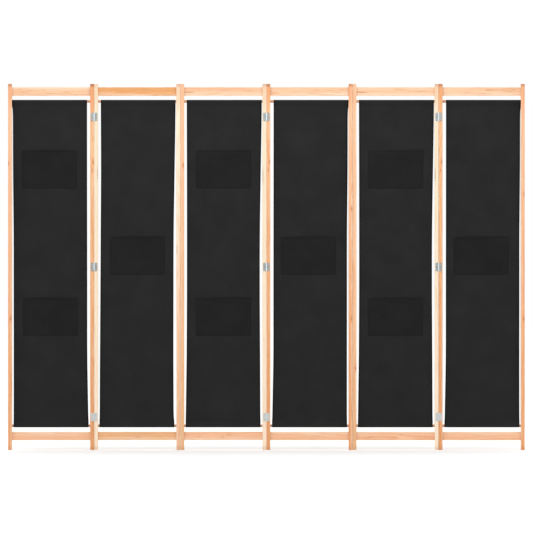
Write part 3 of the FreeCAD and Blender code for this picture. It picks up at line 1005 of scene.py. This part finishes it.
class Pocket:
    """One patch on a cloth: where it is sewn, and how it stands off the sheet."""

    COLUMNS, ROWS = 35, 25
    FRAMES = 24

    def __init__(self, cloth, name, low, high, slide, tilt, pull, seed):
        self.cloth = cloth
        self.name = name
        self.width = high.x - low.x
        self.height = high.z - low.z
        self.middle = (low.x + high.x) / 2 + slide
        self.bottom = low.z
        self.tilt = tilt
        self.pull = pull
        self.seed = seed
        self.relief = self.belly()

    def belly(self):
        """The slack of the patch, held along its sides and its bottom and loose along its top."""
        width, height = self.width, self.height
        start, cut, held = [], [], []
        for column, row, across, up in grid_places(self.COLUMNS, self.ROWS):
            bulge = math.sin(math.pi * across) * min(1.0, 2 * up)
            waviness = noise.noise(Vector((across * 4, up * 3, self.seed)))
            sag = self.pull * (across - 0.5) * (1 - up)
            start.append(((across - 0.5) * width, -POCKET_WAVE * bulge * (1 + waviness), up * height))
            wide, tall = (across - 0.5) * width * POCKET_WIDER + sag, up * height * POCKET_TALLER + sag * 0.6
            cut.append((wide, 0.0, tall))
            if row == 0 or column in (0, self.COLUMNS - 1):
                held.append(row * self.COLUMNS + column)
        settled = relax(self.name, start, cut, self.COLUMNS, self.ROWS, held, self.FRAMES, gravity=0.8)
        depths = [-point.y for point in settled]
        scale = POCKET_BELLY / max(max(depths), LEAST_BELLY)
        heights = [max(depth * scale, -0.0002) for depth in depths]
        return Relief(heights, self.COLUMNS, self.ROWS, POCKET_LIMIT)

    def place(self, across, up):
        """Where a point of the patch is on the sheet, as (x, z), with its two lower corners rounded."""
        side = (across - 0.5) * self.width
        rise = up * self.height
        corner = POCKET_CORNER
        over = (abs(side) - (self.width / 2 - corner)) / corner
        under = (corner - rise) / corner
        if over > 0 and under > 0:
            rounded_over = over * math.sqrt(1 - under * under / 2)
            rounded_under = under * math.sqrt(1 - over * over / 2)
            side = math.copysign(self.width / 2 - corner + rounded_over * corner, side)
            rise = corner - rounded_under * corner
        rise += self.tilt * side / self.width * up
        return self.middle + side, self.bottom + rise

    def stand_off(self, across, up):
        """How far the front of the patch is from the sheet."""
        inside = min(min(across, 1 - across) * self.width, up * self.height)
        from_top = (1 - up) * self.height
        border = soft_step(inside, POCKET_BORDER, LEDGE_SOFTNESS)
        hem = soft_step(from_top, POCKET_HEM, LEDGE_SOFTNESS)
        thickness = LAYER * (1 + max(border, hem))
        seam = math.exp(-((inside - EDGE_STITCH) / STITCH_REACH) ** 2)
        seam += math.exp(-((from_top - POCKET_HEM + EDGE_STITCH) / STITCH_REACH) ** 2)
        rolled = min(1.0, inside / EDGE_ROLL)
        edge = math.sqrt(max(0.0, 1 - (1 - rolled) ** 2))
        free = min(1.0, max(0.0, inside - EDGE_STITCH) / SLACK_START)
        belly = self.relief.at(across, up) * free
        x, z = self.place(across, up)
        ripple = noise.noise(Vector((x * 60, z * 60, self.seed)))
        pucker = BORDER_PUCKER * ripple * math.exp(-inside / BORDER_FADE)
        return thickness * (0.25 + 0.75 * edge) - STITCH_DIP * seam + belly + pucker * edge

    def point(self, across, up, behind=0.0):
        x, z = self.place(across, up)
        left, right = self.cloth.edges(z)
        y = self.cloth.y_at((x - left) / (right - left), z)
        return Vector((x, y - self.stand_off(across, up) + behind, z))

    def shares(self, length, close):
        """Steps along one side as shares of it, with extra ones at the given distances from its start."""
        count = round(length / POCKET_STEP)
        steps = {round(step / count, 6) for step in range(count + 1)}
        steps = {share for share in steps if all(abs(share * length - place) > LEAST_GAP for place in close)}
        return sorted(steps | {place / length for place in close})

    def make(self):
        """The patch's front, the fold along its top and the hem turned in behind it."""
        mirrored = [self.width - place for place in BORDER_STEPS]
        across_steps = self.shares(self.width, [*BORDER_STEPS, *mirrored])
        top_hem = [self.height - POCKET_HEM + extra for extra in HEM_STEPS]
        up_steps = self.shares(self.height, [*BORDER_STEPS, *top_hem, self.height - TOP_STEP, self.height])
        rows, uvs = [], []

        def add_row(up, behind, over, length):
            line = [self.point(across, up, behind) + Vector((0, 0, over)) for across in across_steps]
            rows.append(line)
            uvs.append([(across * self.width, length) for across in across_steps])

        for up in up_steps:
            add_row(up, 0.0, 0.0, up * self.height)
        fold = LAYER / 2
        for angle in steps_between(0.0, math.pi, 4)[1:-1]:
            add_row(1.0, fold * (1 - math.cos(angle)), fold * math.sin(angle), self.height + fold * angle)
        for up in reversed(up_steps):
            if (1 - up) * self.height <= POCKET_HEM + 0.0005:
                add_row(up, LAYER, 0.0, self.height * (2 - up))
        edges = (0.0, self.width, 0.0, self.height)
        material = woven(self.name, POCKET_SHADED_COLOUR, POCKET_SHADED_PALE, self.seed * 2.3, edges, POCKET_PAINTED_SHADE)
        return make_mesh(self.name, rows, uvs, material, POCKET_THICKNESS)

    def seams(self):
        """The lines of stitches: round the sewn sides and the bottom, and along the top hem."""
        side, foot = EDGE_STITCH / self.width, EDGE_STITCH / self.height
        on_top = -(POCKET_THICKNESS / 2 + THREAD * 0.25)
        sewn = [(side, up) for up in steps_between(1.0, foot, 40)]
        sewn += [(across, foot) for across in steps_between(side, 1 - side, 60)[1:-1]]
        sewn += [(1 - side, up) for up in steps_between(foot, 1.0, 40)]
        level = 1 - (POCKET_HEM - EDGE_STITCH) / self.height
        hem = [(across, level) for across in steps_between(0.002, 0.998, 60)]
        return [[self.point(across, up, on_top) for across, up in line] for line in (sewn, hem)]

    def tacks(self):
        """The lines of the bar tacks that close the two upper corners."""
        lines = []
        on_top = -(POCKET_THICKNESS / 2 + THREAD * 0.5)
        start = 1 - TACK_START / self.height
        ups = [start - step * TACK_STEP for step in range(TACK_POINTS)]
        for edge, inward in ((0.0, EDGE_STITCH / self.width), (1.0, -EDGE_STITCH / self.width)):
            for aside in (0.0, TACK_ASIDE):
                lines.append([self.point(edge + inward * (1 + aside), up, on_top) for up in ups])
        return lines


# How far each pocket was sewn off the middle of its frame, how much its top edge rises to the right,
# and how unevenly its bottom was pulled, in millimetres
POCKET_SEWING = {
    "panel_1_upper_pocket": (-0.0080, 0.0003, 0.6),
    "panel_1_lower_pocket": (-0.0030, 0.0005, 2.6),
    "panel_2_middle_pocket": (0.0000, 0.0032, 0.8),
    "panel_3_upper_pocket": (0.0010, 0.0036, 0.7),
    "panel_3_lower_pocket": (0.0005, 0.0034, -2.0),
    "panel_4_middle_pocket": (-0.0050, 0.0032, 0.9),
    "panel_5_upper_pocket": (0.0010, 0.0036, 0.7),
    "panel_5_lower_pocket": (0.0005, 0.0034, -2.2),
    "panel_6_middle_pocket": (-0.0030, 0.0030, 0.8),
}
# A packed pocket's own floor, below the opening that the record gives
POCKET_FLOOR = 0.001


def make_pockets(cloth):
    """The pockets of one panel, at the heights of the openings that the record gives."""
    panel, pockets = cloth.panel, []
    for opening in frame["record"]["physics"]["openings"]:
        name = opening["name"]
        if not name.startswith(panel.body):
            continue
        slide, tilt, pull = POCKET_SEWING[name]
        low, high = [Vector(corner) for corner in opening["box_m"]]
        low.x, high.x = panel.pockets_low.x, panel.pockets_high.x
        low.z -= POCKET_FLOOR
        seed = len(name) + slide * 900 + low.z * 5
        pockets.append(Pocket(cloth, name, low, high, slide, tilt, pull * 0.001, seed))
    return pockets


# ---------------------------------------------------------------- stitches

# How far a stitch may roll about its seam and lean off it, in radians
LEAN = (0.5, 0.09, 0.06)


def add_socket(tree, kind, name, direction="INPUT", value=None):
    socket = tree.interface.new_socket(name, in_out=direction, socket_type=f"NodeSocket{kind}")
    if value is not None:
        socket.default_value = value


def stitching_tree():
    """Running stitches: a rounded grain of thread at even steps along every seam line."""
    tree = bpy.data.node_groups.new("running_stitches", "GeometryNodeTree")
    add_socket(tree, "Geometry", "Seams")
    add_socket(tree, "Float", "Pitch", value=STITCH_PITCH)
    add_socket(tree, "Float", "Length", value=STITCH_LENGTH)
    add_socket(tree, "Float", "Thread", value=THREAD)
    add_socket(tree, "Int", "Seed", value=5)
    add_socket(tree, "Material", "Finish")
    add_socket(tree, "Geometry", "Stitches", "OUTPUT")
    node = NodeTree(tree).node
    given = node("NodeGroupInput").outputs
    curve = node("GeometryNodeMeshToCurve", {}, {"Mesh": given["Seams"]}).outputs[0]
    spacing = {"Curve": curve, "Length": given["Pitch"]}
    spaced = node("GeometryNodeResampleCurve", {"mode": "LENGTH"}, spacing).outputs[0]
    tangent = node("GeometryNodeInputTangent").outputs[0]
    painted_edge_shade = node("FunctionNodeAlignRotationToVector", {"axis": "X"}, {"Vector": tangent}).outputs[0]
    limits = {"Min": tuple(-angle for angle in LEAN), "Max": LEAN, "Seed": given["Seed"]}
    lean = node("FunctionNodeRandomValue", {"data_type": "FLOAT_VECTOR"}, limits).outputs[0]
    wobble = node("FunctionNodeEulerToRotation", {}, {0: lean}).outputs[0]
    both = {0: painted_edge_shade, 1: wobble}
    rotation = node("FunctionNodeRotateRotation", {"rotation_space": "LOCAL"}, both).outputs[0]
    sizes = {0: given["Length"], 1: given["Thread"], 2: given["Thread"]}
    size = node("ShaderNodeCombineXYZ", {}, sizes).outputs[0]
    grain = node("GeometryNodeMeshIcoSphere", {}, {"Radius": 0.5, "Subdivisions": 1}).outputs[0]
    placing = {"Points": spaced, "Instance": grain, "Rotation": rotation, "Scale": size}
    placed = node("GeometryNodeInstanceOnPoints", {}, placing).outputs[0]
    real = node("GeometryNodeRealizeInstances", {}, {0: placed}).outputs[0]
    painting = {"Geometry": real, "Material": given["Finish"]}
    painted = node("GeometryNodeSetMaterial", {}, painting).outputs[0]
    node("NodeGroupOutput", {}, {0: painted})
    return tree


def sew(name, lines, tree, values):
    """Turns seam lines into stitches, as a plain mesh. values are the tree's named inputs."""
    points, edges = [], []
    for line in lines:
        edges += [(len(points) + step, len(points) + step + 1) for step in range(len(line) - 1)]
        points += line
    mesh = bpy.data.meshes.new(name)
    mesh.from_pydata(points, edges, [])
    path = bpy.data.objects.new(name, mesh)
    bpy.context.scene.collection.objects.link(path)
    modifier = path.modifiers.new("stitches", "NODES")
    modifier.node_group = tree
    for item in tree.interface.items_tree:
        if item.in_out == "INPUT" and item.name in values:
            modifier[item.identifier] = values[item.name]
    stitched = bpy.data.meshes.new_from_object(path.evaluated_get(bpy.context.evaluated_depsgraph_get()))
    path.modifiers.remove(modifier)
    path.data = stitched
    bpy.data.meshes.remove(mesh)
    return path


def cloth_seams(cloth):
    """The stitch lines of the side hems and of the sleeves, on the front and on the back."""
    panel = cloth.panel
    surface = CLOTH_THICKNESS / 2 + THREAD * 0.25
    inset = HEM_SEAM / CLOTH_WIDTH
    levels = steps_between(panel.bottom_seam, panel.top_seam, 300)
    shares = steps_between(0.003, 0.997, 80)
    lines = []
    for across in (inset, 1 - inset):
        for behind in (DRAWN_IN - surface, LAYER - DRAWN_IN + surface):
            lines.append([cloth.point(across, z, behind) for z in levels])
    for level, inside in ((panel.bottom_seam, 0.001), (panel.top_seam, -0.001)):
        lines.append([cloth.point(across, level + inside, -surface) for across in shares])
        lines.append([cloth.point(across, level, cloth.flap_gap(across) + surface) for across in shares])
    return lines


# ---------------------------------------------------------------- the soft pieces of one panel

def dress_panel(panel, tree, thread):
    cloth = Cloth(panel)
    sheet, flat = make_cloth(cloth)
    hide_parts(panel.node("cloth"))
    lines, tacks = cloth_seams(cloth), []
    for pocket in make_pockets(cloth):
        piece = pocket.make()
        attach(piece, panel.body)
        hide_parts(panel.node("pockets"))
        lines += pocket.seams()
        tacks += pocket.tacks()
    running = {"Pitch": STITCH_PITCH, "Length": STITCH_LENGTH, "Seed": panel.number}
    close = {"Pitch": TACK_PITCH, "Length": TACK_LENGTH, "Seed": panel.number + 20}
    shared = {"Thread": THREAD, "Finish": thread}
    stitches = sew(panel.node("stitches"), lines, tree, {**running, **shared})
    bars = sew(panel.node("bar_tacks"), tacks, tree, {**close, **shared})
    for piece in (stitches, bars):
        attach(piece, panel.body)
    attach(sheet, panel.body)
    rods = panel.node("cloth_rods")


# ---------------------------------------------------------------- floor, light and camera

FLOOR_REACH = 60.0
FLOOR_COLOURS = (0.90, 0.90, 0.90), (0.94, 0.94, 0.94)
# Each light: its kind, where it is, what it points at, its strength and its size
LIGHTS = {
    "key": ("SUN", (-3, -5, 6), (0, 0, 0.8), 0.50, {"angle": math.radians(50)}),
    "fill": ("SUN", (4, -5, 3), (0, 0, 0.8), 0.25, {"angle": math.radians(70)}),
    "overhead": ("AREA", (0, -1.8, 2.6), (0, 0, 1.9), 23, {"shape": "RECTANGLE", "size": 3.4, "size_y": 0.8}),
    "behind": ("AREA", (0, 2.6, 2.4), (0, 0.5, 0.1), 45, {"shape": "RECTANGLE", "size": 3.6, "size_y": 1.0}),
}
CAMERA_AWAY = 30.0
SENSOR = 36.0
VIEW_WIDTH = 2.4752
# How far the middle of the view is to the right of the screen's middle, and above it
VIEW_SHIFT = 0.0005, 0.0021


def make_floor():
    finish = Finish("pale_floor", Roughness=0.85, Specular_IOR_Level=0.1)
    cloudy = finish.noise(finish.point(*finish.place()), 1.3, 3.0)
    finish.feed("Base Color", finish.mix(cloudy, *FLOOR_COLOURS))
    mesh = bpy.data.meshes.new("floor")
    corners = [(x * FLOOR_REACH, y * FLOOR_REACH, 0) for x, y in ((-1, -1), (1, -1), (1, 1), (-1, 1))]
    mesh.from_pydata(corners, [], [(0, 1, 2, 3)])
    mesh.materials.append(finish.material)
    floor = bpy.data.objects.new("floor", mesh)
    bpy.context.scene.collection.objects.link(floor)


def light_the_room():
    world = bpy.data.worlds.new("white_room")
    world.use_nodes = True
    background = world.node_tree.nodes["Background"]
    background.inputs["Color"].default_value = (1, 1, 1, 1)
    background.inputs["Strength"].default_value = 1.0
    bpy.context.scene.world = world
    for name, (kind, place, aim, energy, size) in LIGHTS.items():
        light = bpy.data.lights.new(name, kind)
        light.energy = energy
        for key, value in size.items():
            setattr(light, key, value)
        lamp = bpy.data.objects.new(name, light)
        lamp.location = place
        lamp.visible_camera = False
        lamp.rotation_euler = (Vector(aim) - Vector(place)).to_track_quat("-Z", "Y").to_euler()
        bpy.context.scene.collection.objects.link(lamp)
    bpy.context.scene.view_settings.view_transform = "Standard"


def make_camera():
    """A long lens straight in front, with the screen's face filling the width of a square picture."""
    camera = bpy.data.cameras.new("camera")
    camera.sensor_width = SENSOR
    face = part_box("panel_1_left_post")[0].y
    camera.lens = SENSOR * (CAMERA_AWAY + face) / VIEW_WIDTH
    camera.clip_end = 200
    seen = bpy.data.objects.new("camera", camera)
    middle = (CAD_LOW + CAD_HIGH) / 2
    seen.location = (middle.x + VIEW_SHIFT[0], -CAMERA_AWAY, middle.z + VIEW_SHIFT[1])
    seen.rotation_euler = (math.radians(90), 0, 0)
    bpy.context.scene.collection.objects.link(seen)
    bpy.context.scene.camera = seen


finish_timber()
finish_steel()
STITCHING = stitching_tree()
BLACK_THREAD = thread_finish()
for frame_panel in PANELS:
    dress_panel(frame_panel, STITCHING, BLACK_THREAD)
make_floor()
light_the_room()
make_camera()
